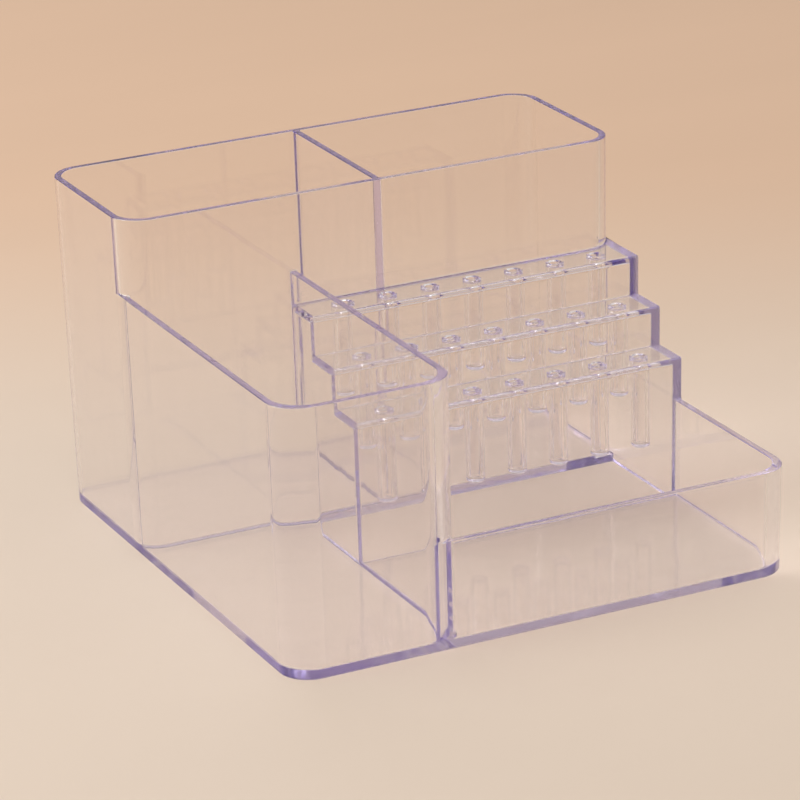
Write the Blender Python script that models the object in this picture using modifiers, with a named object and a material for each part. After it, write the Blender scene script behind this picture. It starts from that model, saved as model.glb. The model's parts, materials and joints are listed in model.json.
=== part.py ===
"""A clear desktop organiser for a nail drill: two tall compartments, a front box, a tray and a stepped bit rack.

Metres, +Z up. The origin is on the table, under the middle of the base, and the front faces -Y.
"""

import math

import bmesh
import bpy
from mathutils import Matrix

# Overall plan, measured at the foot of the walls
BASE_WIDTH = 0.170
BASE_DEPTH = 0.174
CORNER_RADIUS = 0.010
WALL = 0.0022
FLOOR = 0.0025
# Every wall leans outwards by this share of its height, the draft that frees it from its mould
DRAFT_SHARE = 0.0133
# Bond line between neighbouring pieces
BOND_GAP = 0.0003
# Rounding of the free rims
RIM_ROUNDING = 0.0004
# How far a drill runs past both faces of what it cuts
OVERRUN = 0.001

# Tall compartments at the back
TALL_DEPTH = 0.063
TALL_HEIGHT = 0.111
DIVIDER_FROM_LEFT = 0.086

# Front box, and the tray beside it
BOX_WIDTH = 0.0567
BOX_HEIGHT = 0.086
TRAY_HEIGHT = 0.035

# Bit rack
STEP_COUNT = 3
STEP_DEPTH = 0.014
STEP_RISE = 0.013
FRONT_STEP_HEIGHT = 0.049

# Bit wells
WELLS_PER_STEP = 7
WELL_DIAMETER = 0.006
WELL_BORE = 0.0034
WELL_DEPTH = 0.030
WELL_BOTTOM = 0.0014
WELL_LIP = 0.0006
WELL_MARGIN_LEFT = 0.0128
WELL_MARGIN_RIGHT = 0.0095

# Fineness of the round stretches
CORNER_SEGMENTS = 8
RIM_SEGMENTS = 2
WELL_SEGMENTS = 20
LIP_SEGMENTS = 3
MERGE_DISTANCE = 0.00001

# Planes that the pieces share
LEFT = -BASE_WIDTH / 2
RIGHT = BASE_WIDTH / 2
FRONT = -BASE_DEPTH / 2
BACK = BASE_DEPTH / 2
TALL_FRONT = BACK - TALL_DEPTH
BOX_RIGHT = LEFT + BOX_WIDTH
RACK_FRONT = TALL_FRONT - STEP_COUNT * STEP_DEPTH
RACK_INNER_RIGHT = RIGHT - WALL
WALL_FOOT = FLOOR + BOND_GAP
# Pieces that end at the tall shell start out this long, and are then cut to its rounded face
TALL_REACH = TALL_FRONT + CORNER_RADIUS

STEP_NAMES = ("front", "middle", "top")
QUARTER_TURN = math.pi / 2

PLASTIC_COLOUR = (0.90, 0.89, 0.96, 1.0)
PLASTIC_ROUGHNESS = 0.06
PLASTIC_IOR = 1.55


def clear_scene():
    """Start from an empty scene."""
    for item in list(bpy.data.objects):
        bpy.data.objects.remove(item, do_unlink=True)


def new_collection(name):
    """Add a collection to the scene."""
    collection = bpy.data.collections.new(name)
    bpy.context.scene.collection.children.link(collection)
    return collection


def clear_plastic(name):
    """The clear, faintly lavender plastic of one piece."""
    material = bpy.data.materials.new(name + "_clear_plastic")
    material.use_nodes = True
    shader = material.node_tree.nodes["Principled BSDF"]
    shader.inputs["Base Color"].default_value = PLASTIC_COLOUR
    shader.inputs["Roughness"].default_value = PLASTIC_ROUGHNESS
    shader.inputs["Metallic"].default_value = 0
    shader.inputs["IOR"].default_value = PLASTIC_IOR
    shader.inputs["Transmission Weight"].default_value = 1
    return material


# Outlines

def arc(centre, radius, start, end, segments):
    """Points on an arc round centre, from one angle to the other, both ends included."""
    return [
        (
            centre[0] + radius * math.cos(start + (end - start) * step / segments),
            centre[1] + radius * math.sin(start + (end - start) * step / segments),
        )
        for step in range(segments + 1)
    ]


def corner(centre, radius, quarter):
    """A quarter round that starts the given number of quarter turns from +X, and runs anticlockwise."""
    return arc(centre, radius, quarter * QUARTER_TURN, (quarter + 1) * QUARTER_TURN, CORNER_SEGMENTS)


def rectangle(left, front, right, back):
    """A rectangle with sharp corners."""
    return [(left, front), (right, front), (right, back), (left, back)]


def rounded_rectangle(left, front, right, back, radius):
    """A rectangle with four round corners."""
    return (
        corner((right - radius, back - radius), radius, 0)
        + corner((left + radius, back - radius), radius, 1)
        + corner((left + radius, front + radius), radius, 2)
        + corner((right - radius, front + radius), radius, 3)
    )


# Solids

def draft_spread(height):
    """How much wider the plan is at a height than at the foot of the walls."""
    return 1 + DRAFT_SHARE * height / (BASE_WIDTH / 2)


def lean_walls(solid):
    """Widen a mesh with its height in the scene, so that its walls have their draft."""
    for vertex in solid.verts:
        spread = draft_spread(vertex.co.z)
        vertex.co.x *= spread
        vertex.co.y *= spread


def prism(name, outlines, low, high, collection, along_x=False):
    """Extrude a flat outline, and any holes in it, between two heights.

    With along_x the outline lies in the YZ plane, and low and high are places along X.
    """
    curve = bpy.data.curves.new(name + "_outline", "CURVE")
    curve.dimensions = "2D"
    curve.fill_mode = "BOTH"
    curve.extrude = (high - low) / 2
    for outline in outlines:
        spline = curve.splines.new("POLY")
        spline.points.add(len(outline) - 1)
        for point, (first, second) in zip(spline.points, outline):
            point.co = (first, second, 0, 1)
        spline.use_cyclic_u = True
    guide = bpy.data.objects.new(name + "_outline", curve)
    collection.objects.link(guide)
    middle = (low + high) / 2
    if along_x:
        guide.rotation_euler = (QUARTER_TURN, 0, QUARTER_TURN)
        guide.location = (middle, 0, 0)
    else:
        guide.location = (0, 0, middle)
    bpy.context.view_layer.update()
    mesh = bpy.data.meshes.new_from_object(guide.evaluated_get(bpy.context.evaluated_depsgraph_get()))
    mesh.name = name
    mesh.transform(guide.matrix_world)
    bpy.data.objects.remove(guide)
    bpy.data.curves.remove(curve)
    return finish_solid(name, mesh, collection)


def block(name, low, high, collection):
    """A box between two opposite corners."""
    solid = bmesh.new()
    bmesh.ops.create_cube(solid, size=1)
    size = [top - bottom for bottom, top in zip(low, high)]
    middle = [(bottom + top) / 2 for bottom, top in zip(low, high)]
    bmesh.ops.scale(solid, vec=size, verts=solid.verts)
    bmesh.ops.translate(solid, vec=middle, verts=solid.verts)
    mesh = bpy.data.meshes.new(name)
    solid.to_mesh(mesh)
    solid.free()
    return finish_solid(name, mesh, collection)


def drills(name, places, radius, low, high, collection):
    """Upright cylinders at several places, between two heights, in one mesh."""
    solid = bmesh.new()
    for across, along in places:
        bmesh.ops.create_cone(
            solid,
            cap_ends=True,
            segments=WELL_SEGMENTS,
            radius1=radius,
            radius2=radius,
            depth=high - low,
            matrix=Matrix.Translation((across, along, (low + high) / 2)),
        )
    mesh = bpy.data.meshes.new(name)
    solid.to_mesh(mesh)
    solid.free()
    piece = bpy.data.objects.new(name, mesh)
    collection.objects.link(piece)
    return piece


def finish_solid(name, mesh, collection):
    """Weld a mesh, lean its walls, and make it an object that stands at its lowest point."""
    solid = bmesh.new()
    solid.from_mesh(mesh)
    bmesh.ops.remove_doubles(solid, verts=solid.verts, dist=MERGE_DISTANCE)
    lean_walls(solid)
    bmesh.ops.recalc_face_normals(solid, faces=solid.faces)
    foot = min(vertex.co.z for vertex in solid.verts)
    bmesh.ops.translate(solid, vec=(0, 0, -foot), verts=solid.verts)
    solid.to_mesh(mesh)
    solid.free()
    piece = bpy.data.objects.new(name, mesh)
    piece.location = (0, 0, foot)
    collection.objects.link(piece)
    return piece


def round_rims(piece):
    """Round the square edges, and leave the facets of the round corners alone."""
    bevel = piece.modifiers.new("rim_rounding", "BEVEL")
    bevel.width = RIM_ROUNDING
    bevel.segments = RIM_SEGMENTS
    bevel.limit_method = "ANGLE"
    bevel.angle_limit = QUARTER_TURN / 2


def cut(piece, cutter):
    """Take a cutter out of a piece."""
    boolean = piece.modifiers.new("cut_by_" + cutter.name, "BOOLEAN")
    boolean.operation = "DIFFERENCE"
    boolean.solver = "EXACT"
    boolean.object = cutter


def as_cutter(piece):
    """Show an object as a cutter only."""
    piece.hide_render = True
    piece.display_type = "WIRE"
    return piece


# Cutters

def tall_clearance(collection):
    """The tall shell's outside, wider by the bond gap, which trims what ends at the shell."""
    outline = rounded_rectangle(
        LEFT - BOND_GAP, TALL_FRONT - BOND_GAP, RIGHT + BOND_GAP, BACK + BOND_GAP, CORNER_RADIUS + BOND_GAP
    )
    return as_cutter(prism("tall_clearance", [outline], 0, TALL_HEIGHT, collection))


def box_clearance(collection):
    """The front box's outside, wider by the bond gap, which trims the tray wall's left end."""
    outline = rounded_rectangle(
        LEFT - BOND_GAP, FRONT - BOND_GAP, BOX_RIGHT + BOND_GAP, TALL_FRONT, CORNER_RADIUS + BOND_GAP
    )
    return as_cutter(prism("box_clearance", [outline], 0, BOX_HEIGHT, collection))


def well_clearance(step, collection):
    """The holes that a step's wells hang in, wider than the wells by the bond gap."""
    return as_cutter(
        drills(
            "well_clearance_" + STEP_NAMES[step],
            well_places(step),
            WELL_DIAMETER / 2 + BOND_GAP,
            step_top(step) - WALL - OVERRUN,
            step_top(step) + OVERRUN,
            collection,
        )
    )


# Compartments

def base_plate(collection):
    """The floor of every compartment, with a window under the hollow rack."""
    outline = rounded_rectangle(LEFT, FRONT, RIGHT, BACK, CORNER_RADIUS)
    window = rectangle(BOX_RIGHT, RACK_FRONT + WALL, RACK_INNER_RIGHT, TALL_FRONT)
    piece = prism("base_plate", [outline, window], 0, FLOOR, collection)
    round_rims(piece)
    return piece


def tall_shell(collection):
    """The wall round the two tall compartments."""
    outside = rounded_rectangle(LEFT, TALL_FRONT, RIGHT, BACK, CORNER_RADIUS)
    inside = rounded_rectangle(
        LEFT + WALL, TALL_FRONT + WALL, RIGHT - WALL, BACK - WALL, CORNER_RADIUS - WALL
    )
    piece = prism("tall_shell", [outside, inside], WALL_FOOT, TALL_HEIGHT, collection)
    round_rims(piece)
    return piece


def tall_divider(collection):
    """The wall between the two tall compartments."""
    centre = LEFT + DIVIDER_FROM_LEFT
    low = (centre - WALL / 2, TALL_FRONT + WALL + BOND_GAP, WALL_FOOT)
    high = (centre + WALL / 2, BACK - WALL - BOND_GAP, TALL_HEIGHT)
    piece = block("tall_divider", low, high, collection)
    round_rims(piece)
    return piece


def front_box_wall(collection, clearance):
    """The wall round three sides of the front box, ending at the tall shell."""
    inner_radius = CORNER_RADIUS - WALL
    left_centre = (LEFT + CORNER_RADIUS, FRONT + CORNER_RADIUS)
    right_centre = (BOX_RIGHT - CORNER_RADIUS, FRONT + CORNER_RADIUS)
    outline = (
        [(LEFT, TALL_REACH)]
        + corner(left_centre, CORNER_RADIUS, 2)
        + corner(right_centre, CORNER_RADIUS, 3)
        + [(BOX_RIGHT, TALL_REACH), (BOX_RIGHT - WALL, TALL_REACH)]
        + corner(right_centre, inner_radius, 3)[::-1]
        + corner(left_centre, inner_radius, 2)[::-1]
        + [(LEFT + WALL, TALL_REACH)]
    )
    piece = prism("front_box_wall", [outline], WALL_FOOT, BOX_HEIGHT, collection)
    round_rims(piece)
    cut(piece, clearance)
    return piece


def tray_wall(collection, clearance):
    """The low wall along the front and right of the tray, from the front box to the rack."""
    corner_centre = (RIGHT - CORNER_RADIUS, FRONT + CORNER_RADIUS)
    left_end = BOX_RIGHT - CORNER_RADIUS
    back_end = RACK_FRONT - BOND_GAP
    outline = (
        [(left_end, FRONT)]
        + corner(corner_centre, CORNER_RADIUS, 3)
        + [(RIGHT, back_end), (RIGHT - WALL, back_end)]
        + corner(corner_centre, CORNER_RADIUS - WALL, 3)[::-1]
        + [(left_end, FRONT + WALL)]
    )
    piece = prism("tray_wall", [outline], WALL_FOOT, TRAY_HEIGHT, collection)
    round_rims(piece)
    cut(piece, clearance)
    return piece


# Bit rack

def step_front(step):
    """The place along Y of a step's front face, counted from the lowest step."""
    return RACK_FRONT + step * STEP_DEPTH


def step_top(step):
    """The height of a step's upper face, counted from the lowest step."""
    return FRONT_STEP_HEIGHT + step * STEP_RISE


def well_places(step):
    """The places of a step's wells, in the middle of its open depth, where the draft puts them."""
    first = BOX_RIGHT + WELL_MARGIN_LEFT
    last = RACK_INNER_RIGHT - WELL_MARGIN_RIGHT
    pitch = (last - first) / (WELLS_PER_STEP - 1)
    spread = draft_spread(step_top(step) - WALL / 2)
    row = (step_front(step) + STEP_DEPTH / 2) * spread
    return [((first + pitch * number) * spread, row) for number in range(WELLS_PER_STEP)]


def rack_side_wall(collection, clearance):
    """The stepped wall at the rack's right end, flush with the tray wall and the tall shell."""
    outline = [(RACK_FRONT, WALL_FOOT)]
    for step in range(STEP_COUNT):
        outline.append((step_front(step), step_top(step)))
        outline.append((step_front(step + 1), step_top(step)))
    outline[-1] = (TALL_REACH, step_top(STEP_COUNT - 1))
    outline.append((TALL_REACH, WALL_FOOT))
    piece = prism("rack_side_wall", [outline], RACK_INNER_RIGHT, RIGHT, collection, along_x=True)
    round_rims(piece)
    cut(piece, clearance)
    return piece


def rack_tread(step, collection, clearances):
    """One step's upper plate. The top one runs back to the tall shell, and the others under the next riser."""
    is_top = step == STEP_COUNT - 1
    back = TALL_REACH if is_top else step_front(step + 1) + WALL
    low = (BOX_RIGHT + BOND_GAP, step_front(step), step_top(step) - WALL)
    high = (RACK_INNER_RIGHT - BOND_GAP, back, step_top(step))
    piece = block("rack_tread_" + STEP_NAMES[step], low, high, collection)
    for clearance in clearances:
        cut(piece, clearance)
    return piece


def rack_riser(step, collection):
    """One step's upright face, between the plate below and the step's own tread."""
    foot = step_top(step - 1) + BOND_GAP if step else WALL_FOOT
    low = (BOX_RIGHT + BOND_GAP, step_front(step), foot)
    high = (RACK_INNER_RIGHT - BOND_GAP, step_front(step) + WALL, step_top(step) - WALL - BOND_GAP)
    return block("rack_riser_" + STEP_NAMES[step], low, high, collection)


def well_profile():
    """A well's turned profile: up the bore, over the round lip, and down the outer side."""
    bore = WELL_BORE / 2
    outer = WELL_DIAMETER / 2
    lip_radius = (outer - bore) / 2
    lip = arc((bore + lip_radius, WELL_LIP - lip_radius), lip_radius, math.pi, 0, LIP_SEGMENTS)
    foot = -WELL_DEPTH
    return (
        [(0, foot + WELL_BOTTOM), (bore, foot + WELL_BOTTOM)]
        + lip
        + [(outer, foot + RIM_ROUNDING), (outer - RIM_ROUNDING, foot), (0, foot)]
    )


def well_mesh():
    """The mesh that all wells share, with its origin in the tread's upper face."""
    profile = well_profile()
    mesh = bpy.data.meshes.new("bit_well")
    solid = bmesh.new()
    points = [solid.verts.new((radius, 0, height)) for radius, height in profile]
    for first, second in zip(points, points[1:]):
        solid.edges.new((first, second))
    solid.to_mesh(mesh)
    solid.free()
    mesh.materials.append(clear_plastic("bit_well"))
    return mesh


def bit_well(name, mesh, place, height, collection):
    """One closed tube, hanging in its hole in a tread at that height."""
    well = bpy.data.objects.new(name, mesh)
    well.location = (place[0], place[1], height)
    collection.objects.link(well)
    screw = well.modifiers.new("turned", "SCREW")
    screw.steps = WELL_SEGMENTS
    screw.render_steps = WELL_SEGMENTS
    screw.use_merge_vertices = True
    screw.merge_threshold = MERGE_DISTANCE
    screw.use_smooth_shade = True
    return well


def build():
    """Build every piece, and hang them all on one empty at the origin."""
    clear_scene()
    parts = new_collection("nail_drill_holder")
    cutters = new_collection("cutters")
    at_tall_shell = tall_clearance(cutters)
    at_front_box = box_clearance(cutters)
    shells = [
        base_plate(parts),
        tall_shell(parts),
        tall_divider(parts),
        front_box_wall(parts, at_tall_shell),
        tray_wall(parts, at_front_box),
        rack_side_wall(parts, at_tall_shell),
    ]
    for step in range(STEP_COUNT):
        at_neighbours = [well_clearance(step, cutters)]
        if step == STEP_COUNT - 1:
            at_neighbours.append(at_tall_shell)
        shells.append(rack_tread(step, parts, at_neighbours))
        shells.append(rack_riser(step, parts))
    for piece in shells:
        piece.data.materials.append(clear_plastic(piece.name))
    shared_well = well_mesh()
    wells = [
        bit_well(f"bit_well_{STEP_NAMES[step]}_{number}", shared_well, place, step_top(step), parts)
        for step in range(STEP_COUNT)
        for number, place in enumerate(well_places(step), start=1)
    ]
    holder = bpy.data.objects.new("nail_drill_holder", None)
    parts.objects.link(holder)
    for piece in shells + wells:
        piece.parent = holder


build()
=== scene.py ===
"""The nail drill holder as it looks: one clear, polished moulding on a pale table.

Metres, +Z up, front towards -Y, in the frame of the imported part.
"""

import json
import logging
import math
from collections.abc import Callable, Iterable, Iterator
from contextlib import contextmanager
from dataclasses import dataclass, field
from enum import Enum

import bmesh
import bpy
from mathutils import Matrix, Vector

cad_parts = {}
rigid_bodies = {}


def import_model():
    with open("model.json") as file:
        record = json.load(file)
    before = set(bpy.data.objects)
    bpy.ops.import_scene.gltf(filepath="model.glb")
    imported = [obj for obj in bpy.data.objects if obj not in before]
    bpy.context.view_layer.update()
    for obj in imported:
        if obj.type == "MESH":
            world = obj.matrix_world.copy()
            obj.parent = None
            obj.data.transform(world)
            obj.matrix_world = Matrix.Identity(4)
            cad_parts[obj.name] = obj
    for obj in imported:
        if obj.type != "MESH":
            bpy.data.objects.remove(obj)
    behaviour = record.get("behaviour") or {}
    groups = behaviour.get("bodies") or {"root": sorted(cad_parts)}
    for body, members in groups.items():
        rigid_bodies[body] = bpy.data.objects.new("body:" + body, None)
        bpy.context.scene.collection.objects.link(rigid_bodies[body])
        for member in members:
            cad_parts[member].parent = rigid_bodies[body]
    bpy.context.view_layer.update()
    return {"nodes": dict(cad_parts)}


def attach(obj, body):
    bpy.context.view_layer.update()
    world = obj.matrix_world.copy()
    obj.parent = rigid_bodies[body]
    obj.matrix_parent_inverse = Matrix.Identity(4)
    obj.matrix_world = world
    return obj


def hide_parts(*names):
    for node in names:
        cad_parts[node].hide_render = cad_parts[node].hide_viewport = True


LOG = logging.getLogger("nail_drill_holder")

Point = tuple[float, float, float]
Colour = tuple[float, float, float, float]
Solid = bpy.types.Object
Socket = bpy.types.NodeSocket
Edge = bmesh.types.BMEdge
Face = bmesh.types.BMFace

BODY = "root"

# The mark on the faces at which one piece passes into the next
JOINT_MARK = "joined"
# The rack's steps, lowest first
STEP_NAMES = ("front", "middle", "top")
# How near a place has to be to count as the same one
NEAR = 0.00005
# Edges that turn by more than this are sharp
SHARP = math.radians(35)
# Corner points closer than this are one point
WELD = 0.000004
# Faces that turn by less than this are one face
FLAT = math.radians(0.05)
# How strongly large faces steer the shading along their edges, of 100
LARGE_FACE_WEIGHT = 100


class Pick(Enum):
    """What edit mode selects."""

    EDGES = "EDGE"
    FACES = "FACE"


class Join(Enum):
    """How a second solid changes the first."""

    FUSE = "UNION"
    CARVE = "DIFFERENCE"
    KEEP_WITHIN = "INTERSECT"


class Side(Enum):
    """A side of a block, seen from above."""

    LEFT = "left"
    RIGHT = "right"
    FRONT = "front"
    BACK = "back"


class Bench:
    """Modelling steps that the sub-assemblies share."""

    @staticmethod
    def only(piece: Solid) -> None:
        """Select one piece and nothing else.

        Args:
            piece: The object to work on.
        """
        bpy.ops.object.select_all(action="DESELECT")
        piece.select_set(True)
        bpy.context.view_layer.objects.active = piece

    @staticmethod
    def cube(name: str, low: Point, high: Point) -> Solid:
        """Start a box between two opposite corners.

        Args:
            name: The object's name.
            low: The lowest corner.
            high: The highest corner.

        Returns:
            The box, with its size and place in its mesh.
        """
        bpy.ops.object.select_all(action="DESELECT")
        middle = [(a + b) / 2 for a, b in zip(low, high)]
        size = [b - a for a, b in zip(low, high)]
        bpy.ops.mesh.primitive_cube_add(size=1, location=middle, scale=size)
        return Bench.start(name)

    @staticmethod
    def cylinder(name: str, radius: float, low: float, high: float, sides: int) -> Solid:
        """Start an upright cylinder on the Z axis.

        Args:
            name: The object's name.
            radius: Its radius.
            low: The height of its lower end.
            high: The height of its upper end.
            sides: How many flat sides it has.

        Returns:
            The cylinder, with its size and place in its mesh.
        """
        bpy.ops.object.select_all(action="DESELECT")
        bpy.ops.mesh.primitive_cylinder_add(
            vertices=sides, radius=radius, depth=high - low, location=(0, 0, (low + high) / 2)
        )
        return Bench.start(name)

    @staticmethod
    def start(name: str) -> Solid:
        """Name the object that was just added, and put its place and size in its mesh.

        Args:
            name: Its name.

        Returns:
            The object.
        """
        piece = bpy.context.active_object
        piece.name = name
        piece.data.name = name
        bpy.ops.object.transform_apply(location=True, rotation=True, scale=True)
        return piece

    @staticmethod
    @contextmanager
    def picked(piece: Solid, kind: Pick, test: Callable[..., bool]) -> Iterator[None]:
        """Open a piece in edit mode with the edges or faces that pass a test selected.

        Args:
            piece: The object to edit.
            kind: Whether edges or faces are selected.
            test: Says of one edge or face whether it is selected.
        """
        Bench.only(piece)
        bpy.ops.object.mode_set(mode="EDIT")
        bpy.ops.mesh.select_mode(type=kind.value)
        bpy.ops.mesh.select_all(action="DESELECT")
        cage = bmesh.from_edit_mesh(piece.data)
        for element in cage.edges if kind is Pick.EDGES else cage.faces:
            if test(element):
                element.select_set(True)
        bmesh.update_edit_mesh(piece.data)
        yield
        bpy.ops.object.mode_set(mode="OBJECT")

    @staticmethod
    def round_edges(piece: Solid, test: Callable[[Edge], bool], radius: float, segments: int) -> None:
        """Round the edges that pass a test.

        Args:
            piece: The object to edit.
            test: Says of one edge whether it is rounded.
            radius: The rounding's radius.
            segments: How many facets the rounding has.
        """
        with Bench.picked(piece, Pick.EDGES, test):
            bpy.ops.mesh.bevel(offset=radius, segments=segments, profile=0.5, affect="EDGES")

    @staticmethod
    def modify(piece: Solid, kind: str, **settings: object) -> None:
        """Give a piece a modifier and apply it.

        Args:
            piece: The piece.
            kind: The modifier's type.
            settings: The modifier's own settings.
        """
        Bench.only(piece)
        bpy.ops.object.modifier_add(type=kind)
        modifier = piece.modifiers[-1]
        for name, value in settings.items():
            setattr(modifier, name, value)
        bpy.ops.object.modifier_apply(modifier=modifier.name)

    @staticmethod
    def combine(
        piece: Solid, other: Solid, how: Join, keep: bool = False, overlapping: bool = False
    ) -> None:
        """Fuse a second solid with the first, carve it out or keep what both share.

        Args:
            piece: The solid that is changed.
            other: The solid that changes it.
            how: How it changes.
            keep: Whether the other is used again later.
            overlapping: Whether the other is several solids that run into each other.
        """
        Bench.modify(
            piece, "BOOLEAN", operation=how.value, solver="EXACT", use_self=overlapping, object=other
        )
        if not keep:
            Bench.discard(other)

    @staticmethod
    def join(pieces: list[Solid], name: str) -> Solid:
        """Join several objects in one, without fusing them.

        Args:
            pieces: The objects, which are used up.
            name: The joined object's name.

        Returns:
            The joined object.
        """
        Bench.only(pieces[0])
        for piece in pieces:
            piece.select_set(True)
        bpy.ops.object.join()
        return Bench.start(name)

    @staticmethod
    def clean(piece: Solid) -> None:
        """Merge doubled corners, close slits, drop loose edges and merge faces that lie in one plane.

        Args:
            piece: The solid to clean.
        """
        with Bench.picked(piece, Pick.FACES, lambda face: True):
            bpy.ops.mesh.remove_doubles(threshold=WELD)
            bpy.ops.mesh.dissolve_degenerate(threshold=WELD)
            bpy.ops.mesh.delete_loose()
        with Bench.picked(piece, Pick.EDGES, lambda edge: edge.is_boundary):
            bpy.ops.mesh.fill_holes(sides=0)
        with Bench.picked(piece, Pick.FACES, lambda face: True):
            bpy.ops.mesh.dissolve_limited(angle_limit=FLAT)

    @staticmethod
    def discard(piece: Solid) -> None:
        """Remove a helper solid and its mesh.

        Args:
            piece: The helper.
        """
        mesh = piece.data
        bpy.data.objects.remove(piece)
        bpy.data.meshes.remove(mesh)

    @staticmethod
    def copy(pattern: Solid, name: str, place: Point = (0, 0, 0)) -> Solid:
        """Copy a solid with its own mesh, and move the copy's mesh to a place.

        Args:
            pattern: The solid to copy.
            name: The copy's name.
            place: How far the copy is moved.

        Returns:
            The copy.
        """
        Bench.only(pattern)
        bpy.ops.object.duplicate(linked=False)
        bpy.ops.transform.translate(value=place)
        return Bench.start(name)

    @staticmethod
    def copies(pattern: Solid, places: Iterable[Point], name: str) -> Solid:
        """Copy a pattern to several places, and join the copies in one object.

        Args:
            pattern: The solid to copy.
            places: Where each copy goes.
            name: The joined object's name.

        Returns:
            The joined copies.
        """
        return Bench.join([Bench.copy(pattern, name, place) for place in places], name)


def upright_at(places: Iterable[tuple[float, float]]) -> Callable[[Edge], bool]:
    """A test for the upright edges at some places in the plan.

    Args:
        places: The edges' places along X and Y.

    Returns:
        The test.
    """
    wanted = list(places)

    def test(edge: Edge) -> bool:
        """Whether an edge stands upright at one of the places."""
        first, second = (corner.co for corner in edge.verts)
        upright = (first.xy - second.xy).length < NEAR
        return upright and any((first.xy - Vector(place)).length < NEAR for place in wanted)

    return test


def sharp_at_height(height: float) -> Callable[[Edge], bool]:
    """A test for the sharp level edges at one height.

    Args:
        height: The edges' height.

    Returns:
        The test.
    """

    def test(edge: Edge) -> bool:
        """Whether an edge is level, sharp and at the height."""
        level = all(abs(corner.co.z - height) < NEAR for corner in edge.verts)
        return level and edge.is_manifold and edge.calc_face_angle() > SHARP

    return test


def facing(*directions: Point) -> Callable[[Face], bool]:
    """A test for the faces that look one of several ways."""
    wanted = [Vector(direction) for direction in directions]
    return lambda face: any(face.normal.dot(way) > math.cos(SHARP / 4) for way in wanted)


UP: Point = (0, 0, 1)
DOWN: Point = (0, 0, -1)
LEFTWARDS: Point = (-1, 0, 0)
RIGHTWARDS: Point = (1, 0, 0)
BACKWARDS: Point = (0, 1, 0)


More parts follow.
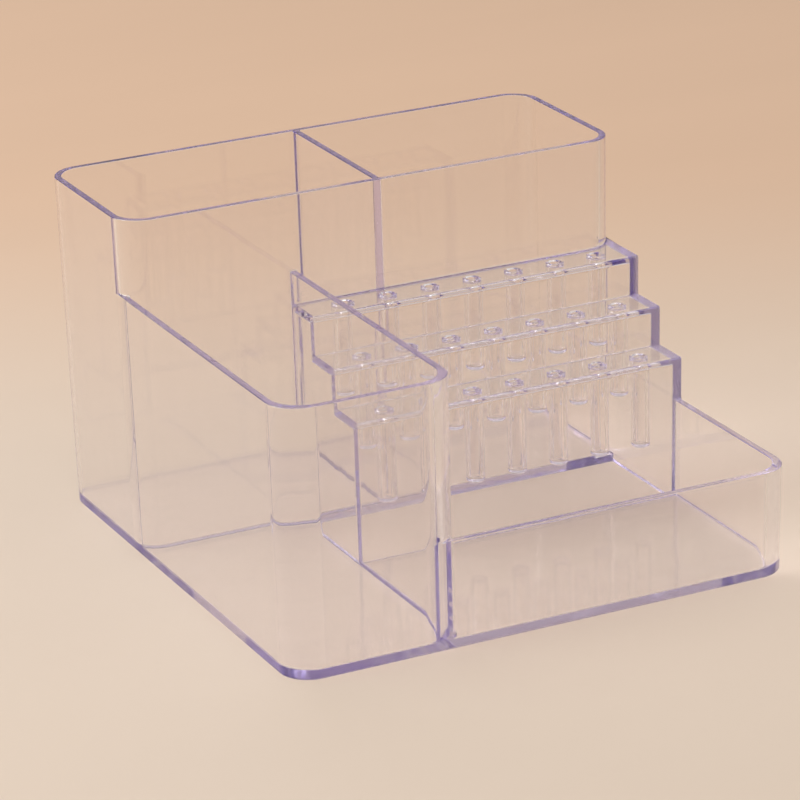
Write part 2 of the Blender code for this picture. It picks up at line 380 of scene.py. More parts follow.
@dataclass(frozen=True)
class Plan:
    """The sizes that several sub-assemblies share, at the foot of the walls."""

    base_width: float = 0.170
    base_depth: float = 0.174
    corner_radius: float = 0.010
    corner_segments: int = 14
    wall: float = 0.0022
    floor: float = 0.0025
    draft_share: float = 0.0133
    tall_depth: float = 0.063
    tall_height: float = 0.111
    box_width: float = 0.0567
    rim_radius: float = 0.0003
    rim_segments: int = 3
    fillet_radius: float = 0.0006
    fillet_segments: int = 3
    base_edge_radius: float = 0.0008
    # How far one wall reaches into the next before the two are fused
    bite: float = 0.0011
    overrun: float = 0.002

    @property
    def left(self) -> float:
        """The outer face on the left."""
        return -self.base_width / 2

    @property
    def right(self) -> float:
        """The outer face on the right."""
        return self.base_width / 2

    @property
    def front(self) -> float:
        """The outer face in front."""
        return -self.base_depth / 2

    @property
    def back(self) -> float:
        """The outer face at the back."""
        return self.base_depth / 2

    @property
    def tall_front(self) -> float:
        """The front face of the tall compartments."""
        return self.back - self.tall_depth

    @property
    def box_right(self) -> float:
        """The right face of the front box."""
        return self.left + self.box_width

    @property
    def foot(self) -> float:
        """Where the walls start, half way up the floor that they stand in."""
        return self.floor / 2

    @property
    def reach(self) -> float:
        """How far back a wall runs before it is carved to the tall compartments' rounded corner."""
        return self.tall_front + self.corner_radius

    def spread(self, height: float) -> float:
        """How much wider the plan is at a height, because every wall leans outwards."""
        return 1 + self.draft_share * height / (self.base_width / 2)

    def round_rim(self, piece: Solid, height: float) -> None:
        """Round the sharp level edges at a height."""
        Bench.round_edges(piece, sharp_at_height(height), self.rim_radius, self.rim_segments)

    def round_corners(
        self, piece: Solid, places: Iterable[tuple[float, float]], inset: float = 0.0
    ) -> None:
        """Round some upright edges.

        Args:
            piece: The object to edit.
            places: The edges' places along X and Y.
            inset: How much smaller the radius is than outside.
        """
        Bench.round_edges(piece, upright_at(places), self.corner_radius - inset, self.corner_segments)

    def inner_corner(self, edge: Edge) -> bool:
        """Whether an edge is an inner corner, clear of the outer faces, where the moulding has a fillet.

        Args:
            edge: The edge, still upright.

        Returns:
            Whether it gets a fillet.
        """
        inside = all(abs(corner.co.x) < self.right - NEAR for corner in edge.verts)
        return inside and edge.is_manifold and edge.calc_face_angle_signed() < -SHARP

    def enclose(
        self, name: str, low: Point, high: Point, inset: float = 0.0, gaps: tuple[Side, ...] = ()
    ) -> Solid:
        """Model the wall along the sides of a block, with rounded corners.

        Args:
            name: The wall's name.
            low: The block's lowest corner.
            high: Its highest corner.
            inset: How much smaller the corners' radius is inside than outside.
            gaps: The sides that have no wall.

        Returns:
            The wall, with a round rim.
        """
        depth = {side: -self.overrun if side in gaps else self.wall for side in Side}
        inner_low = (low[0] + depth[Side.LEFT], low[1] + depth[Side.FRONT], low[2] - self.overrun)
        inner_high = (high[0] - depth[Side.RIGHT], high[1] - depth[Side.BACK], high[2] + self.overrun)
        wall, hollow = Bench.cube(name, low, high), Bench.cube("hollow", inner_low, inner_high)
        for solid, start, end, smaller in ((wall, low, high, 0.0), (hollow, inner_low, inner_high, inset)):
            places = {
                (Side.LEFT, Side.FRONT): (start[0], start[1]),
                (Side.LEFT, Side.BACK): (start[0], end[1]),
                (Side.RIGHT, Side.FRONT): (end[0], start[1]),
                (Side.RIGHT, Side.BACK): (end[0], end[1]),
            }
            closed = [place for sides, place in places.items() if not set(sides) & set(gaps)]
            self.round_corners(solid, closed, smaller)
        Bench.combine(wall, hollow, Join.CARVE)
        self.round_rim(wall, high[2])
        return wall

    def core(self, name: str, low: tuple[float, float], high: tuple[float, float]) -> Solid:
        """A compartment's outline, drawn in by half a wall, to which its neighbours are carved.

        Args:
            name: The solid's name.
            low: The compartment's front left corner.
            high: Its back right corner.

        Returns:
            The solid.
        """
        inset = self.wall / 2
        left, front, right, back = low[0] + inset, low[1] + inset, high[0] - inset, high[1] - inset
        top = self.tall_height + self.overrun
        solid = Bench.cube(name, (left, front, -self.overrun), (right, back, top))
        self.round_corners(solid, [(left, front), (left, back), (right, front), (right, back)], inset)
        return solid


@dataclass
class BasePlate:
    """The floor of every compartment, with a window under the hollow rack."""

    plan: Plan
    window_front: float
    window_right: float

    def build(self) -> Solid:
        """Model the plate.

        Returns:
            The plate.
        """
        plan = self.plan
        plate = Bench.cube("base_plate_form", (plan.left, plan.front, 0), (plan.right, plan.back, plan.floor))
        corners = [(x, y) for x in (plan.left, plan.right) for y in (plan.front, plan.back)]
        plan.round_corners(plate, corners)
        Bench.round_edges(plate, sharp_at_height(0), plan.base_edge_radius, plan.rim_segments)
        window = Bench.cube(
            "base_window",
            (plan.box_right, self.window_front, -plan.overrun),
            (self.window_right, plan.tall_front, plan.overrun + plan.floor),
        )
        Bench.combine(plate, window, Join.CARVE)
        return plate


@dataclass
class TallCompartments:
    """The two tall compartments at the back."""

    plan: Plan
    divider_from_left: float = 0.086

    def shell(self) -> Solid:
        """Model the wall round both compartments.

        Returns:
            The wall.
        """
        plan = self.plan
        low, high = (plan.left, plan.tall_front, plan.foot), (plan.right, plan.back, plan.tall_height)
        return plan.enclose("tall_shell_form", low, high, inset=plan.wall)

    def divider(self) -> Solid:
        """Model the wall between them.

        Returns:
            The wall.
        """
        plan = self.plan
        centre = plan.left + self.divider_from_left
        inner_front, inner_back = plan.tall_front + plan.wall, plan.back - plan.wall
        low = (centre - plan.wall / 2, inner_front - plan.bite, plan.foot)
        high = (centre + plan.wall / 2, inner_back + plan.bite, plan.tall_height)
        divider = Bench.cube("tall_divider_form", low, high)
        plan.round_rim(divider, plan.tall_height)
        return divider

    def core(self) -> Solid:
        """Model the outline that the neighbours are carved to."""
        plan = self.plan
        return plan.core("tall_core", (plan.left, plan.tall_front), (plan.right, plan.back))


@dataclass
class FrontBox:
    """The open box at the front left."""

    plan: Plan
    height: float = 0.086

    def build(self) -> Solid:
        """Model the wall round three of its sides.

        Returns:
            The wall, which still runs past the tall compartments' front.
        """
        plan = self.plan
        low, high = (plan.left, plan.front, plan.foot), (plan.box_right, plan.reach, self.height)
        return plan.enclose("front_box_form", low, high, gaps=(Side.BACK,))

    def core(self) -> Solid:
        """Model the outline that the tray's wall is carved to."""
        plan = self.plan
        return plan.core("box_core", (plan.left, plan.front), (plan.box_right, plan.reach))


@dataclass
class Tray:
    """The low tray at the front right."""

    plan: Plan
    rack_front: float
    height: float = 0.035

    def build(self) -> Solid:
        """Model the wall along its front and right.

        Returns:
            The wall, which still runs into the front box and the rack.
        """
        plan = self.plan
        low = (plan.box_right - plan.corner_radius, plan.front, plan.foot)
        high = (plan.right, self.rack_front + plan.bite, self.height)
        return plan.enclose("tray_form", low, high, gaps=(Side.LEFT, Side.BACK))


@dataclass
class BitWell:
    """One closed tube for a bit's shank, drawn with the step's upper face at height zero."""

    diameter: float = 0.006
    bore: float = 0.0034
    depth: float = 0.030
    bottom: float = 0.0014
    lip: float = 0.0006
    lip_radius: float = 0.0004
    toe_radius: float = 0.0009
    sink: float = 0.0005
    sink_share: float = 1.3
    overrun: float = 0.001
    sides: int = 32
    toe_segments: int = 4
    lip_segments: int = 3

    def tube(self) -> Solid:
        """Model the tube as a solid bar.

        Returns:
            The bar.
        """
        tube = Bench.cylinder("well_tube", self.diameter / 2, -self.depth, self.lip, self.sides)
        Bench.round_edges(tube, sharp_at_height(-self.depth), self.toe_radius, self.toe_segments)
        Bench.round_edges(tube, sharp_at_height(self.lip), self.lip_radius, self.lip_segments)
        return tube

    def hollow(self) -> Solid:
        """Model the bore, with its rounded foot and its countersunk mouth.

        Returns:
            The bore as a solid.
        """
        foot, shoulder = self.bottom - self.depth, self.lip - self.sink
        bore = Bench.cylinder("well_bore", self.bore / 2, foot, shoulder, self.sides)
        Bench.round_edges(bore, sharp_at_height(foot), self.sink, self.lip_segments)
        with Bench.picked(bore, Pick.FACES, facing(UP)):
            bpy.ops.mesh.extrude_region_move(TRANSFORM_OT_translate={"value": (0, 0, self.sink)})
            bpy.ops.transform.resize(
                value=(self.sink_share, self.sink_share, 1), center_override=(0, 0, self.lip)
            )
            bpy.ops.mesh.extrude_region_move(TRANSFORM_OT_translate={"value": (0, 0, self.overrun)})
        return bore


@dataclass
class BitRack:
    """The stepped rack, hollow underneath."""

    plan: Plan
    step_count: int = 3
    step_depth: float = 0.014
    step_rise: float = 0.013
    front_step_height: float = 0.049
    wells_per_step: int = 7
    margin_left: float = 0.0128
    margin_right: float = 0.0095
    nosing_radius: float = 0.0008
    nosing_segments: int = 4
    well: BitWell = field(default_factory=BitWell)

    @property
    def front(self) -> float:
        """The front face of the lowest step."""
        return self.plan.tall_front - self.step_count * self.step_depth

    @property
    def inner_right(self) -> float:
        """The inner face of the side wall."""
        return self.plan.right - self.plan.wall

    def step_top(self, step: int) -> float:
        """A step's upper face, counted from the lowest step."""
        return self.front_step_height + step * self.step_rise

    def stepped_block(self, name: str, left: float, right: float) -> Solid:
        """Model a solid flight of steps.

        Args:
            name: The solid's name.
            left: Its left face.
            right: Its right face.

        Returns:
            The solid, which still runs past the tall compartments' front.
        """
        plan = self.plan
        low, high = (left, self.front, plan.foot), (right, plan.reach, self.front_step_height)
        block = Bench.cube(name, low, high)
        for step in range(1, self.step_count):
            place = self.front + step * self.step_depth
            with Bench.picked(block, Pick.FACES, lambda face: True):
                bpy.ops.mesh.bisect(plane_co=(0, place, 0), plane_no=(0, 1, 0))
            top = self.step_top(step - 1)

            def behind(face: Face, place: float = place, top: float = top) -> bool:
                """Whether a face is the top's stretch behind the cut."""
                centre = face.calc_center_median()
                return face.normal.z > 1 - NEAR and centre.y > place and abs(centre.z - top) < NEAR

            with Bench.picked(block, Pick.FACES, behind):
                bpy.ops.mesh.extrude_region_move(TRANSFORM_OT_translate={"value": (0, 0, self.step_rise)})
        return block

    def round_steps(self, piece: Solid) -> None:
        """Round the long front edges of the steps.

        Args:
            piece: The side wall or the flight.
        """
        for step in range(self.step_count):
            top, place = self.step_top(step), self.front + step * self.step_depth

            def nosing(edge: Edge, top: float = top, place: float = place) -> bool:
                """Whether an edge is the step's front edge."""
                return all(abs(end.co.z - top) < NEAR and abs(end.co.y - place) < NEAR for end in edge.verts)

            Bench.round_edges(piece, nosing, self.nosing_radius, self.nosing_segments)

    def side_wall(self) -> Solid:
        """Model the stepped wall at the right end.

        Returns:
            The wall, which still runs past the tall compartments' front.
        """
        wall = self.stepped_block("rack_side_form", self.inner_right, self.plan.right)
        self.round_steps(wall)
        return wall

    def flight(self) -> Solid:
        """Model the risers and treads as one folded sheet.

        Returns:
            The flight, which reaches into the walls at both ends.
        """
        plan = self.plan
        ends = (plan.box_right - plan.bite, self.inner_right + plan.bite)
        flight = self.stepped_block("rack_flight_form", *ends)
        with Bench.picked(flight, Pick.FACES, facing(DOWN, BACKWARDS, LEFTWARDS, RIGHTWARDS)):
            bpy.ops.mesh.delete(type="FACE")
        Bench.modify(flight, "SOLIDIFY", thickness=plan.wall, offset=-1, use_even_offset=True)
        self.round_steps(flight)
        return flight

    def well_places(self, step: int) -> list[Point]:
        """Where each well's axis meets its step's upper face, with the walls' lean.

        Args:
            step: The step, counted from the lowest.

        Returns:
            The places, from the left.
        """
        plan = self.plan
        first = plan.box_right + self.margin_left
        last = self.inner_right - self.margin_right
        pitch = (last - first) / (self.wells_per_step - 1)
        top = self.step_top(step)
        spread = plan.spread(top - plan.wall / 2)
        row = (self.front + (step + 0.5) * self.step_depth) * spread
        return [((first + pitch * well) * spread, row, top) for well in range(self.wells_per_step)]


class Tree:
    """A shader node tree that is built node by node."""

    def __init__(self, tree: bpy.types.ShaderNodeTree) -> None:
        """Start on an empty tree.

        Args:
            tree: The tree, whose nodes are removed.
        """
        self.tree = tree
        tree.nodes.clear()

    def add(
        self, kind: str, inputs: dict[str | int, object] | None = None, **settings: object
    ) -> bpy.types.ShaderNode:
        """Add a node.

        Args:
            kind: The node's type, without its leading word.
            inputs: A number, a colour or another node's socket for some of its inputs.
            settings: The node's own settings.

        Returns:
            The node.
        """
        node = self.tree.nodes.new(kind if kind.startswith("Node") else f"ShaderNode{kind}")
        for name, value in settings.items():
            setattr(node, name, value)
        for name, value in (inputs or {}).items():
            if isinstance(value, Socket):
                self.tree.links.new(value, node.inputs[name])
            else:
                node.inputs[name].default_value = value
        return node

    def red(self, colour: Socket) -> Socket:
        """Add a node that takes a colour's red."""
        return self.add("SeparateColor", {0: colour}).outputs[0]

    def math(self, operation: str, first: object, second: object) -> Socket:
        """Add a node that does one sum with two numbers or sockets."""
        return self.add("Math", {0: first, 1: second}, operation=operation).outputs[0]

    def noise(self, vector: Socket, stretch: Point, scale: float, detail: float) -> Socket:
        """Add a noise that is stretched along the axes.

        Args:
            vector: The coordinates.
            stretch: How dense the noise is along each axis.
            scale: How many features there are to the metre.
            detail: How many finer layers it has.

        Returns:
            The noise.
        """
        mapping = self.add("Mapping", {"Vector": vector, "Scale": stretch})
        noise = self.add("TexNoise", {"Vector": mapping.outputs[0], "Scale": scale, "Detail": detail})
        return noise.outputs["Fac"]

    def window(self, value: Socket, low: float, high: float) -> Socket:
        """Turn a stretch of a value into 0 to 1.

        Args:
            value: The value.
            low: Where the result is 0.
            high: Where the result is 1.

        Returns:
            The result.
        """
        stretch = {"Value": value, "From Min": low, "From Max": high}
        return self.add("MapRange", stretch, interpolation_type="SMOOTHSTEP").outputs[0]


class MouldingMarks:
    """The faint ripples, scuffs and specks of a moulded surface, as one node group."""

    NAME = "moulding_marks"
    # Each noise: how dense it is along each axis, its features to the metre, and its finer layers
    FLOW = ((1.0, 1.0, 0.2), 70.0, 1.0)
    DRAG = ((1.0, 1.0, 0.06), 420.0, 2.0)
    PATCHES = ((1.0, 1.0, 1.0), 30.0, 3.0)
    HAIRS = ((0.15, 1.0, 1.0), 1500.0, 3.0)
    # The stretch of a noise over which patches and hairs come in
    PATCH_RANGE = (0.48, 0.72)
    HAIR_RANGE = (0.60, 0.72)
    # How much drag there is in the ripples, and how much wear in a patch without hairs
    DRAG_SHARE = 0.12
    PATCH_WEAR = 0.35
    # Specks: their cells to the metre, how rare they are, where they fade out and in, and what they add
    SPECK_CELLS = 240.0
    SPECK_RARITY = 0.88
    SPECK_RANGE = (0.035, 0.02)
    SPECK_ROUGHNESS = 0.35
    SPECK_HEIGHT = 0.3

    @classmethod
    def group(cls) -> bpy.types.ShaderNodeTree:
        """Get the group, and build it the first time.

        Returns:
            The group.
        """
        found = bpy.data.node_groups.get(cls.NAME)
        if found:
            return found
        group = bpy.data.node_groups.new(cls.NAME, "ShaderNodeTree")
        for name in ("Polish", "Scuff", "Ripple"):
            group.interface.new_socket(name, in_out="INPUT", socket_type="NodeSocketFloat")
        for name in ("Roughness", "Height"):
            group.interface.new_socket(name, in_out="OUTPUT", socket_type="NodeSocketFloat")
        tree = Tree(group)
        given = tree.add("NodeGroupInput").outputs
        place = tree.add("TexCoord").outputs["Object"]
        flow, drag = tree.noise(place, *cls.FLOW), tree.noise(place, *cls.DRAG)
        patches = tree.window(tree.noise(place, *cls.PATCHES), *cls.PATCH_RANGE)
        hairs = tree.window(tree.noise(place, *cls.HAIRS), *cls.HAIR_RANGE)
        cells = tree.add("TexVoronoi", {"Vector": place, "Scale": cls.SPECK_CELLS}).outputs
        chosen = tree.math("GREATER_THAN", tree.red(cells["Color"]), cls.SPECK_RARITY)
        dots = tree.math("MULTIPLY", tree.window(cells["Distance"], *cls.SPECK_RANGE), chosen)
        worn = tree.math("MULTIPLY", patches, tree.math("ADD", cls.PATCH_WEAR, hairs))
        rough = tree.math("ADD", given["Polish"], tree.math("MULTIPLY", given["Scuff"], worn))
        ripple = tree.math("ADD", flow, tree.math("MULTIPLY", drag, cls.DRAG_SHARE))
        ripple = tree.math("MULTIPLY", ripple, given["Ripple"])
        results = {
            "Roughness": tree.math("ADD", rough, tree.math("MULTIPLY", dots, cls.SPECK_ROUGHNESS)),
            "Height": tree.math("ADD", ripple, tree.math("MULTIPLY", dots, cls.SPECK_HEIGHT)),
        }
        tree.add("NodeGroupOutput", results)
        return group


@dataclass(frozen=True)
class ClearPlastic:
    """Clear, polished plastic, nearly colourless through a wall and lavender along one."""

    name: str
    polish: float = 0.0
    scuff: float = 0.05
    ripple: float = 1.0
    ripple_height: float = 0.00004
    colour: Colour = (0.985, 0.975, 0.965, 1.0)
    shade: Colour = (0.955, 0.945, 0.94, 1.0)
    ior: float = 1.57
    depth_tint: Colour = (0.15, 0.0, 0.68, 1.0)
    depth_density: float = 6.5

    def material(self) -> bpy.types.Material:
        """Mix the material.

        Returns:
            The material, which lets light straight through wherever two pieces join.
        """
        material = bpy.data.materials.new(self.name)
        material.use_nodes = True
        tree = Tree(material.node_tree)
        given = {"Polish": self.polish, "Scuff": self.scuff, "Ripple": self.ripple}
        marks = tree.add("Group", given, node_tree=MouldingMarks.group()).outputs
        bump = tree.add("Bump", {"Distance": self.ripple_height, "Height": marks["Height"]})
        joined = tree.add("Attribute", attribute_name=JOINT_MARK)
        looks = {
            "Base Color": self.colour,
            "IOR": self.ior,
            "Transmission Weight": 1.0,
            "Roughness": marks["Roughness"],
            "Normal": bump.outputs["Normal"],
            "Alpha": tree.math("SUBTRACT", 1.0, joined.outputs["Fac"]),
        }
        plastic = tree.add("BsdfPrincipled", looks)
        passing = tree.add("BsdfTransparent", {"Color": self.shade})
        shadow = tree.add("LightPath").outputs["Is Shadow Ray"]
        mix = tree.add("MixShader", {0: shadow, 1: plastic.outputs[0], 2: passing.outputs[0]})
        depth = tree.add("VolumeAbsorption", {"Color": self.depth_tint, "Density": self.depth_density})
        tree.add("OutputMaterial", {"Surface": mix.outputs[0], "Volume": depth.outputs[0]})
        return material


@dataclass(frozen=True)
class Finishes:
    """The finishes of the walls, the scuffed base, the drawn wells and the rack's stepped end."""

    wall: ClearPlastic = ClearPlastic("clear_wall")
    base: ClearPlastic = ClearPlastic("clear_base", polish=0.04, scuff=0.14, ripple=2.4)
    well: ClearPlastic = ClearPlastic("clear_well", polish=0.03, scuff=0.08, ripple=1.2)
    step_end: ClearPlastic = ClearPlastic("clear_step_end", polish=0.14, scuff=0.10, ripple=4.0)


@dataclass(frozen=True)
class Span:
    """The stretch of the moulding that one piece is, between two corners of the upright plan."""

    node: str
    low: Point
    high: Point


@dataclass
class Joints:
    """Where one piece of the moulding passes into the next, a little clear of every corner."""

    plan: Plan
    rack: BitRack
    divider_centre: float
    clearance: float = 0.0008
    gap: float = 0.00001
    beyond: float = 0.3

    def tread_base(self, step: int) -> float:
        """The height at which a tread passes into what hangs from it."""
        return self.rack.step_top(step) - self.plan.wall - self.clearance

    def divider(self) -> Span:
        """The wall between the tall compartments, clear of the walls at its ends.

        Returns:
            Its span.
        """
        plan, clear = self.plan, self.clearance
        width = 2 * plan.wall
        return Span(
            "tall_divider",
            (self.divider_centre - width, plan.tall_front + plan.wall + clear, plan.floor + clear),
            (self.divider_centre + width, plan.back - plan.wall - clear, self.beyond),
        )

    def spans(self) -> list[Span]:
        """List the stretches that tile the moulding, apart from the divider and the wells.

        Returns:
            One span for each piece.
        """
        plan, rack, clear, far = self.plan, self.rack, self.clearance, self.beyond
        bottom = plan.floor + clear
        tall_front, rack_front = plan.tall_front - clear, rack.front - clear
        box_right, rack_right = plan.box_right + clear, rack.inner_right - clear
        spans = [
            Span("base_plate", (-far, -far, -far), (far, far, bottom)),
            Span("tall_shell", (-far, tall_front, bottom), (far, far, far)),
            Span("front_box_wall", (-far, -far, bottom), (box_right, tall_front, far)),
            Span("tray_wall", (box_right, -far, bottom), (far, rack_front, far)),
            Span("rack_side_wall", (rack_right, rack_front, bottom), (far, tall_front, far)),
        ]
        riser_base = bottom
        for step, name in enumerate(STEP_NAMES):
            base, top = self.tread_base(step), rack.step_top(step) + clear
            low, high = (box_right, rack_front), (rack_right, tall_front)
            spans += [
                Span(f"rack_riser_{name}", (*low, riser_base), (*high, base)),
                Span(f"rack_tread_{name}", (*low, base), (*high, top)),
            ]
            riser_base = top
        return spans

    def block(self, span: Span, spare: float) -> Solid:
        """Model a span's stretch of space.

        Args:
            span: The span.
            spare: How far the block stands back from the span's ends.

        Returns:
            The block.
        """
        low = tuple(value + spare for value in span.low)
        high = tuple(value - spare for value in span.high)
        return Bench.cube("joint_block", low, high)

    def planes(self) -> list[tuple[int, float]]:
        """List the joints' planes.

        Returns:
            Each plane's axis and its place on it.
        """
        found = set()
        for span in [self.divider(), *self.spans()]:
            for corner in (span.low, span.high):
                found.update((axis, value) for axis, value in enumerate(corner) if abs(value) < self.beyond)
        return sorted(found)

    def mark(self, piece: Solid) -> int:
        """Mark the faces at which a piece passes into its neighbours.

        Args:
            piece: The finished piece, with its walls leaning.

        Returns:
            How many faces are marked.
        """
        mesh, planes = piece.data, self.planes()
        marks = mesh.attributes.new(JOINT_MARK, "FLOAT", "FACE")
        upright = []
        for corner in mesh.vertices:
            spread = self.plan.spread(corner.co.z)
            upright.append((corner.co.x / spread, corner.co.y / spread, corner.co.z))
        for face, mark in zip(mesh.polygons, marks.data):
            corners = [upright[index] for index in face.vertices]
            in_plane = (
                all(abs(place[axis] - value) < 2 * self.gap for place in corners) for axis, value in planes
            )
            mark.value = float(any(in_plane))
        return sum(mark.value > 0 for mark in marks.data)


@dataclass
class ClearMoulding:
    """The holder, fused as the real one is moulded and then parted in its named pieces."""

    plan: Plan = field(default_factory=Plan)
    finishes: Finishes = field(default_factory=Finishes)

    def build(self) -> list[Solid]:
        """Model and dress every piece of the holder.

        Returns:
            The finished pieces.
        """
        plan = self.plan
        rack, tall, box = BitRack(plan), TallCompartments(plan), FrontBox(plan)
        tray = Tray(plan, rack_front=rack.front)
        base = BasePlate(plan, window_front=rack.front + plan.wall, window_right=rack.inner_right)
        joints = Joints(plan, rack, divider_centre=plan.left + tall.divider_from_left)
        body = self.fuse(base, tall, box, tray, rack)
        pieces = self.part(body, joints)
        pieces += self.hang_wells(pieces, rack, joints)
        plain = self.finishes.wall.material()
        special = {
            "clear_base_plate": self.finishes.base.material(),
            "clear_rack_side_wall": self.finishes.step_end.material(),
        }
        drawn = self.finishes.well.material()
        for piece in pieces:
            material = drawn if "bit_well" in piece.name else special.get(piece.name, plain)
            self.complete(piece, joints, material)
        return pieces

    def fuse(
        self, base: BasePlate, tall: TallCompartments, box: FrontBox, tray: Tray, rack: BitRack
    ) -> Solid:
        """Fuse the base and every wall, still upright.

        Args:
            base: The base plate.
            tall: The tall compartments.
            box: The front box.
            tray: The tray.
            rack: The stepped rack.

        Returns:
            The fused body.
        """
        body = base.build()
        tall_core, box_core = tall.core(), box.core()
        at_tall = [box.build(), rack.side_wall(), rack.flight()]
        for wall in at_tall:
            Bench.combine(wall, tall_core, Join.CARVE, keep=True)
        tray_wall = tray.build()
        Bench.combine(tray_wall, box_core, Join.CARVE)
        Bench.discard(tall_core)
        walls = Bench.join([tall.shell(), tall.divider(), *at_tall, tray_wall], "walls")
        Bench.combine(body, walls, Join.FUSE, overlapping=True)
        Bench.clean(body)
        LOG.info("fused body: %d faces", len(body.data.polygons))
        return body

    def part(self, body: Solid, joints: Joints) -> list[Solid]:
        """Part the fused body at its joints, and lean every wall outwards.

        Args:
            body: The fused body, which is used up.
            joints: Where it is parted.

        Returns:
            The pieces.
        """
        pieces, plan = [], self.plan
        for span in [*joints.spans(), joints.divider()]:
            piece = Bench.copy(body, f"clear_{span.node}")
            Bench.combine(piece, joints.block(span, joints.gap / 2), Join.KEEP_WITHIN)
            if span.node == "tall_shell":
                Bench.combine(piece, joints.block(joints.divider(), -joints.gap / 2), Join.CARVE)
            Bench.clean(piece)
            Bench.round_edges(piece, plan.inner_corner, plan.fillet_radius, plan.fillet_segments)
            self.lean(piece)
            pieces.append(piece)
        Bench.discard(body)
        return pieces

    def lean(self, piece: Solid) -> None:
        """Lean a piece outwards, by the draft that frees the holder from its mould.

        Args:
            piece: The piece, still upright.
        """
        plan = self.plan
        heights = [corner.co.z for corner in piece.data.vertices]
        growth = plan.spread(max(heights)) - plan.spread(min(heights))
        Bench.modify(piece, "SIMPLE_DEFORM", deform_method="TAPER", deform_axis="Z", factor=growth)

    def hang_wells(self, pieces: list[Solid], rack: BitRack, joints: Joints) -> list[Solid]:
        """Put a collar round each hole of the treads, and hang a tube from it.

        Args:
            pieces: The pieces, with the treads among them.
            rack: The rack.
            joints: Where the tubes pass into their treads.

        Returns:
            The tubes.
        """
        treads = {piece.name: piece for piece in pieces}
        drop = self.plan.wall + joints.clearance
        bar, bore = rack.well.tube(), rack.well.hollow()
        collar, tube = Bench.copy(bar, "well_collar"), Bench.copy(bar, "well_cup")
        wide = rack.well.diameter
        above = Bench.cube("above_joint", (-wide, -wide, -drop), (wide, wide, wide))
        Bench.combine(collar, above, Join.KEEP_WITHIN, keep=True)
        with Bench.picked(above, Pick.FACES, facing(DOWN)):
            bpy.ops.transform.translate(value=(0, 0, -joints.gap))
        Bench.combine(tube, above, Join.CARVE)
        Bench.combine(tube, bore, Join.CARVE, keep=True)
        tubes = []
        for step, name in enumerate(STEP_NAMES):
            places = rack.well_places(step)
            tread = treads[f"clear_rack_tread_{name}"]
            Bench.combine(tread, Bench.copies(collar, places, "well_collars"), Join.FUSE)
            Bench.combine(tread, Bench.copies(bore, places, "well_bores"), Join.CARVE)
            for number, place in enumerate(places, 1):
                tubes.append(Bench.copy(tube, f"clear_bit_well_{name}_{number}", place))
        for form in (bar, bore, collar, tube):
            Bench.discard(form)
        return tubes

    def complete(self, piece: Solid, joints: Joints, material: bpy.types.Material) -> None:
        """Clean a piece's mesh, shade its round stretches smooth and dress it.

        Args:
            piece: The piece.
            joints: Where it passes into its neighbours.
            material: Its finish.
        """
        Bench.clean(piece)
        Bench.only(piece)
        bpy.ops.object.shade_smooth_by_angle(angle=SHARP)
        Bench.modify(piece, "WEIGHTED_NORMAL", keep_sharp=True, weight=LARGE_FACE_WEIGHT)
        joined = joints.mark(piece)
        piece.data.materials.clear()
        piece.data.materials.append(material)
        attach(piece, BODY)
        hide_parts(piece.name.removeprefix("clear_"))
        LOG.info("%s: %d faces, %d of them at joints", piece.name, len(piece.data.polygons), joined)


@dataclass(frozen=True)
class TableTop:
    """The plain pale table that the holder stands on, darker and deeper in colour further back: partly a
    deeper tone, partly painted shade where the light falls off.
    """

    colour: Colour = (0.735, 0.625, 0.525, 1.0)
    # The far colour is partly a deeper tone and partly painted shade, darker where the lamps' light falls off
    far_colour_and_shade: Colour = (0.72, 0.51, 0.365, 1.0)
    fade: tuple[float, float] = (0.04, 0.40)
    heading: float = math.radians(25.66)
    roughness: float = 0.6
    # The grain: how dense it is along each axis, its features to the metre, and its finer layers
    grain: tuple[Point, float, float] = ((1.0, 4.0, 1.0), 3.0, 3.0)
    grain_depth: float = 0.06
    darkest: float = 0.97
    side: float = 8.0
    drop: float = 0.0003

    def build(self) -> None:
        """Lay the table."""
        bpy.ops.object.select_all(action="DESELECT")
        bpy.ops.mesh.primitive_plane_add(size=self.side, location=(0, 0, -self.drop))
        table = Bench.start("table")
        table.data.materials.append(self.material())

    def material(self) -> bpy.types.Material:
        """Mix the table's paint.

        Returns:
            The material.
        """
        material = bpy.data.materials.new("pale_table")
        material.use_nodes = True
        tree = Tree(material.node_tree)
        place = tree.add("TexCoord").outputs["Object"]
        away = (math.sin(self.heading), math.cos(self.heading), 0.0)
        depth = tree.add("VectorMath", {0: place, 1: away}, operation="DOT_PRODUCT")
        # Painted shade: the table blends towards the darker far colour further from the camera, as well as
        # into a deeper tone
        far = tree.window(depth.outputs["Value"], *self.fade)
        colours = {"Factor": far, "A": self.colour, "B": self.far_colour_and_shade}
        mix = tree.add("Mix", colours, data_type="RGBA")
        grain = tree.math("MULTIPLY", tree.noise(place, *self.grain), self.grain_depth)
        tones = {"Factor": 1.0, "A": mix.outputs["Result"], "B": tree.math("ADD", self.darkest, grain)}
        shade = tree.add("Mix", tones, data_type="RGBA", blend_type="MULTIPLY")
        looks = {"Base Color": shade.outputs["Result"], "Roughness": self.roughness}
        paint = tree.add("BsdfPrincipled", looks)
        tree.add("OutputMaterial", {"Surface": paint.outputs[0]})
        return material


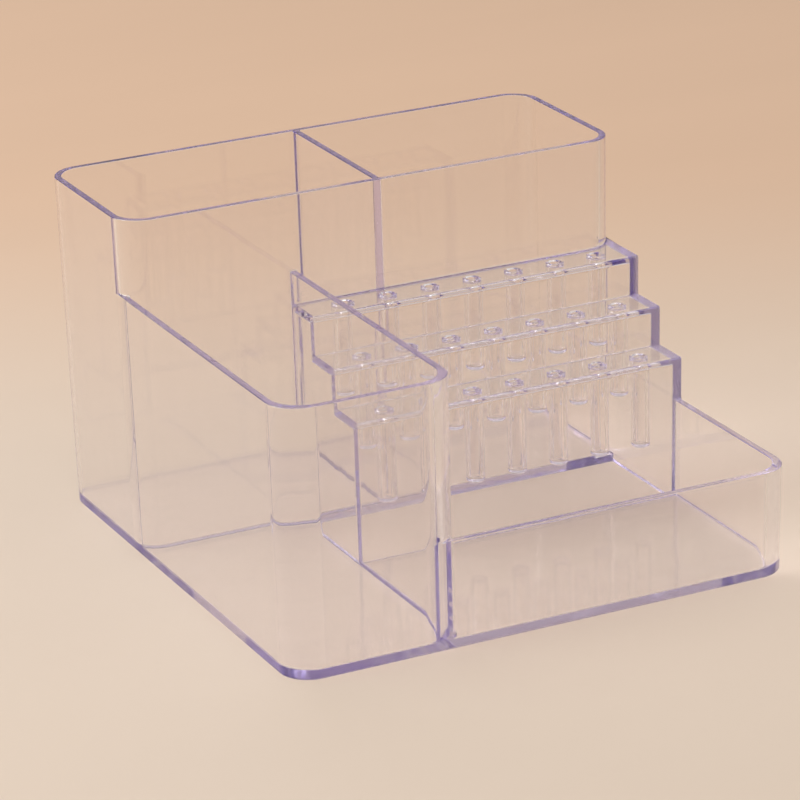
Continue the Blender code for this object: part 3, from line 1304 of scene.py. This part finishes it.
@dataclass(frozen=True)
class SoftLamp:
    """One rectangular studio lamp that looks at the holder."""

    name: str
    place: Point
    size: tuple[float, float]
    power: float
    target: Point = (0.0, 0.0, 0.05)

    def build(self) -> None:
        """Hang the lamp."""
        data = bpy.data.lights.new(self.name, "AREA")
        data.shape = "RECTANGLE"
        data.size, data.size_y = self.size
        data.energy = self.power
        self.count_once(data)
        lamp = bpy.data.objects.new(self.name, data)
        lamp.location = self.place
        aim = Vector(self.target) - Vector(self.place)
        lamp.rotation_euler = aim.to_track_quat("-Z", "Y").to_euler()
        bpy.context.scene.collection.objects.link(lamp)

    def count_once(self, data: bpy.types.AreaLight) -> None:
        """Leave out the light that reaches the table both straight and bent through the plastic.

        Args:
            data: The lamp's data.
        """
        data.use_nodes = True
        tree = Tree(data.node_tree)
        path = tree.add("LightPath").outputs
        after_table = tree.math("MINIMUM", path["Diffuse Depth"], 1.0)
        bent = tree.math("MULTIPLY", path["Is Transmission Ray"], after_table)
        glow = tree.add("Emission", {"Strength": tree.math("SUBTRACT", 1.0, bent)})
        tree.add("OutputLight", {0: glow.outputs[0]})


@dataclass(frozen=True)
class Studio:
    """The table, the lamps and the air round the holder."""

    low_air: Colour = (0.50, 0.41, 0.34, 1.0)
    high_air: Colour = (0.76, 0.72, 0.68, 1.0)
    air_heights: tuple[float, float] = (0.05, 0.75)
    bounces: int = 128
    clear_faces: int = 64
    table: TableTop = field(default_factory=TableTop)
    lamps: tuple[SoftLamp, ...] = (
        SoftLamp("window_lamp", (-1.1, 0.45, 1.02), (0.8, 0.9), 12.0),
        SoftLamp("fill_lamp", (1.25, -1.0, 1.2), (0.6, 0.8), 1.2),
    )

    def build(self) -> None:
        """Set up the table, the air, the lamps and how far light is followed."""
        self.table.build()
        for lamp in self.lamps:
            lamp.build()
        scene = bpy.context.scene
        scene.world = self.air()
        scene.view_settings.view_transform = "Standard"
        scene.cycles.max_bounces = self.bounces
        scene.cycles.transmission_bounces = self.bounces
        scene.cycles.glossy_bounces = self.bounces
        scene.cycles.transparent_max_bounces = self.clear_faces

    def air(self) -> bpy.types.World:
        """Mix soft room light, brighter overhead.

        Returns:
            The world.
        """
        world = bpy.data.worlds.new("studio_air")
        world.use_nodes = True
        tree = Tree(world.node_tree)
        direction = tree.add("SeparateXYZ", {0: tree.add("TexCoord").outputs["Generated"]})
        height = tree.window(direction.outputs["Z"], *self.air_heights)
        airs = {"Factor": height, "A": self.low_air, "B": self.high_air}
        mix = tree.add("Mix", airs, data_type="RGBA")
        background = tree.add("Background", {"Color": mix.outputs["Result"]})
        tree.add("OutputWorld", {"Surface": background.outputs[0]})
        return world


@dataclass(frozen=True)
class PhotoCamera:
    """A long lens, a little over a metre away, above the front left corner."""

    place: Point = (-0.5308, -1.0929, 0.5011)
    turn: float = math.radians(25.66)
    dip: float = math.radians(20.57)
    roll: float = math.radians(-1.742)
    lens: float = 185.4
    sensor: float = 36.0
    nearest: float = 0.01
    farthest: float = 100.0

    def build(self) -> None:
        """Set up the camera."""
        data = bpy.data.cameras.new("photo_camera")
        data.lens = self.lens
        data.sensor_width = self.sensor
        data.clip_start = self.nearest
        data.clip_end = self.farthest
        camera = bpy.data.objects.new("photo_camera", data)
        heading = Matrix.Rotation(-self.turn, 4, "Z")
        tilt = Matrix.Rotation(math.pi / 2 - self.dip, 4, "X")
        lean = Matrix.Rotation(self.roll, 4, "Z")
        camera.matrix_world = Matrix.Translation(self.place) @ heading @ tilt @ lean
        bpy.context.scene.collection.objects.link(camera)
        bpy.context.scene.camera = camera


def clear_start() -> None:
    """Remove what a new file holds."""
    for item in list(bpy.data.objects):
        bpy.data.objects.remove(item)


def main() -> None:
    """Build the holder and its studio."""
    logging.basicConfig(level=logging.INFO, format="%(name)s: %(message)s")
    clear_start()
    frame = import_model()
    PhotoCamera().build()
    Studio().build()
    pieces = ClearMoulding().build()
    LOG.info("%d pieces for %d nodes", len(pieces), len(frame["nodes"]))


if __name__ == "__main__":
    main()
